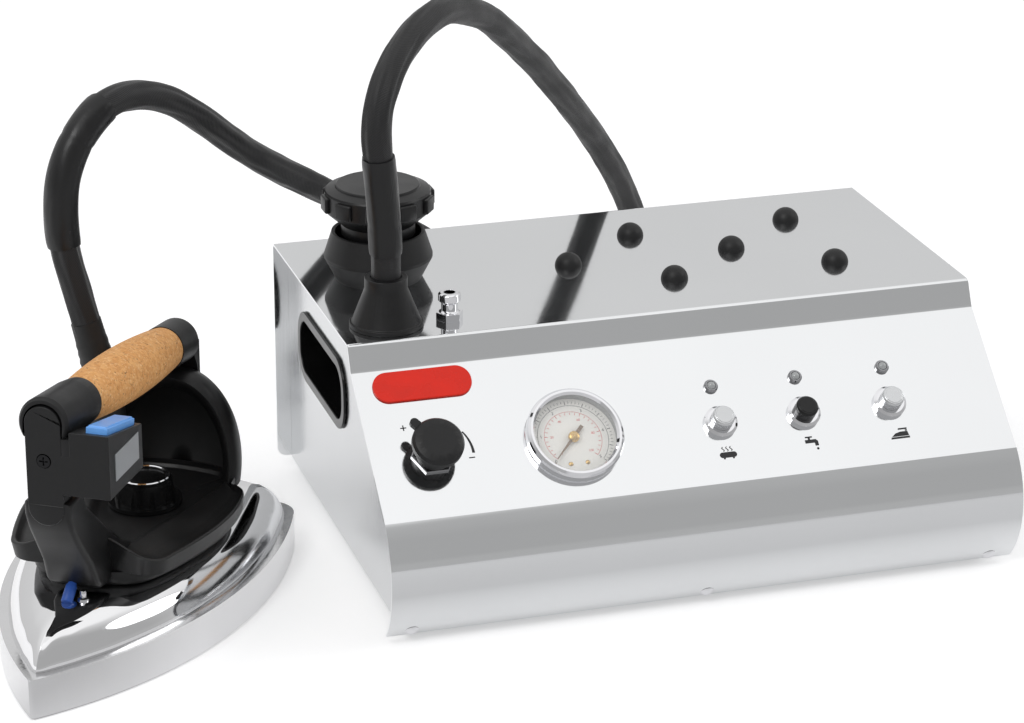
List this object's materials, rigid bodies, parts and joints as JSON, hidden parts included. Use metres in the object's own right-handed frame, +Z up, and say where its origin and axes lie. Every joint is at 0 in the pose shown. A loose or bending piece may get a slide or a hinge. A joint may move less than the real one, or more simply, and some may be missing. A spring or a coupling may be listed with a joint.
{
  "type": "steam generator iron",
  "caption": "Steam generator iron: a stainless steel boiler unit with filler, gauge, regulator and push-buttons, and a cork-handled iron on a braided steam hose.",
  "frame": {"origin": "middle of the footprint of the boiler unit and the iron together, on the floor", "axes": "+Z up, -Y towards the user and the control panel, +X to the user's right; the iron stands to the left of the boiler unit, its nose to the front left"},
  "size_m": [0.5432, 0.527, 0.2976],
  "materials": {
    "stainless_sheet": "bright rolled stainless steel",
    "tray_steel": "bare steel sheet",
    "black_plastic": "black moulded plastic, satin gloss",
    "matte_black": "black moulded plastic, matte",
    "black_rubber": "black rubber",
    "bright_chrome": "polished chrome plate",
    "screw_steel": "plain steel screws",
    "valve_brass": "turned brass",
    "red_enamel": "red enamelled plate, blank",
    "dial_white": "white printed dial",
    "needle_black": "black needle",
    "clear_glass": "clear glass",
    "lens_grey": "smoky clear plastic lens",
    "boiler_steel": "welded stainless steel",
    "element_steel": "heat-tinted steel tube",
    "copper_pipe": "copper pipe",
    "coil_black": "black encapsulated coil and switch cases",
    "terminal_white": "white terminal strip",
    "sole_aluminium": "cast aluminium, machined sides",
    "cork": "natural cork, fine grain",
    "blue_plastic": "clear blue plastic",
    "label_grey": "grey printed label, blank"
  },
  "bodies": {
    "base": {"casing_wrap": "stainless_sheet", "side_panel_left": "stainless_sheet", "side_panel_right": "stainless_sheet", "base_tray": "tray_steel", "side_recess_left": "black_plastic", "side_recess_right": "black_plastic", "rubber_feet": "black_rubber", "apron_screws": "screw_steel", "rear_screws": "screw_steel", "rest_domes": "black_rubber", "filler_collar": "matte_black", "hose_gland": "black_plastic", "holder_socket": "bright_chrome", "regulator_valve": "valve_brass", "gauge_case": "tray_steel", "gauge_bezel": "bright_chrome", "gauge_dial": "dial_white", "gauge_glass": "clear_glass", "switch_bodies": "bright_chrome", "lamp_bezels": "bright_chrome", "lamp_lenses": "lens_grey", "badge_plate": "red_enamel", "boiler_tank": "boiler_steel", "heating_element": "element_steel", "boiler_brackets": "tray_steel", "safety_valve": "valve_brass", "pressure_switch": "coil_black", "solenoid_valve": "coil_black", "steam_pipes": "copper_pipe", "terminal_block": "terminal_white", "mains_gland": "black_plastic", "steam_hose": "black_rubber", "hose_sleeves": "black_rubber"},
    "filler_plug": {"filler_plug": "valve_brass", "filler_gasket": "black_rubber"},
    "filler_cap": {"filler_cap": "black_plastic"},
    "regulator_knob": {"regulator_knob": "black_plastic"},
    "boiler_button": {"boiler_button": "bright_chrome"},
    "water_button": {"water_button": "black_plastic"},
    "iron_button": {"iron_button": "bright_chrome"},
    "gauge_needle": {"gauge_needle": "needle_black"},
    "iron": {"soleplate": "sole_aluminium", "iron_element": "element_steel", "iron_cover": "bright_chrome", "shield_block": "matte_black", "heat_shield": "black_plastic", "grip_stem": "black_plastic", "cork_grip": "cork", "grip_cap_front": "matte_black", "grip_cap_rear": "matte_black", "grip_rod": "screw_steel", "switch_housing": "matte_black", "micro_switch": "coil_black", "label_plate": "label_grey", "iron_screw": "screw_steel", "iron_thermostat": "element_steel", "steam_inlet": "bright_chrome", "hose_boot": "black_rubber"},
    "steam_button": {"steam_button": "blue_plastic"},
    "thermostat_dial": {"thermostat_dial": "black_plastic"}
  },
  "joints": [
    {"name": "filler_lift", "type": "slide", "parent": "base", "child": "filler_plug", "axis": [0, 0, 1], "range_m": [0, 0.06]},
    {"name": "filler_cap_turn", "type": "hinge", "parent": "filler_plug", "child": "filler_cap", "pos_m": [-0.0354, 0.0618, 0.17], "axis": [0, 0, 1], "range_deg": [0, 360]},
    {"name": "regulator_turn", "type": "hinge", "parent": "base", "child": "regulator_knob", "pos_m": [-0.0452, -0.07995, 0.0907], "axis": [0, -0.6615, 0.7499], "range_deg": [-138, 0]},
    {"name": "boiler_button_press", "type": "slide", "parent": "base", "child": "boiler_button", "axis": [0, 0.6615, -0.7499], "range_m": [0, 0.0025], "stiffness_N_per_m": 800},
    {"name": "water_button_press", "type": "slide", "parent": "base", "child": "water_button", "axis": [0, 0.6615, -0.7499], "range_m": [0, 0.0025], "stiffness_N_per_m": 800},
    {"name": "iron_button_press", "type": "slide", "parent": "base", "child": "iron_button", "axis": [0, 0.6615, -0.7499], "range_m": [0, 0.0025], "stiffness_N_per_m": 800},
    {"name": "gauge_needle_sweep", "type": "hinge", "parent": "base", "child": "gauge_needle", "pos_m": [0.0308, -0.0795, 0.09109], "axis": [0, 0.6615, -0.7499], "range_deg": [0, 270], "stiffness_Nm_per_rad": 0.001},
    {"name": "iron_lift", "type": "slide", "parent": "base", "child": "iron", "axis": [0, 0, 1], "range_m": [0, 0.12], "deforming": ["steam_hose", "hose_sleeves"]},
    {"name": "steam_button_press", "type": "slide", "parent": "iron", "child": "steam_button", "axis": [-0.1215, -0.1893, -0.9744], "range_m": [0, 0.002], "stiffness_N_per_m": 600},
    {"name": "thermostat_turn", "type": "hinge", "parent": "iron", "child": "thermostat_dial", "pos_m": [-0.18174, -0.00604, 0.058], "axis": [0, 0, 1], "range_deg": [0, 270]}
  ]
}
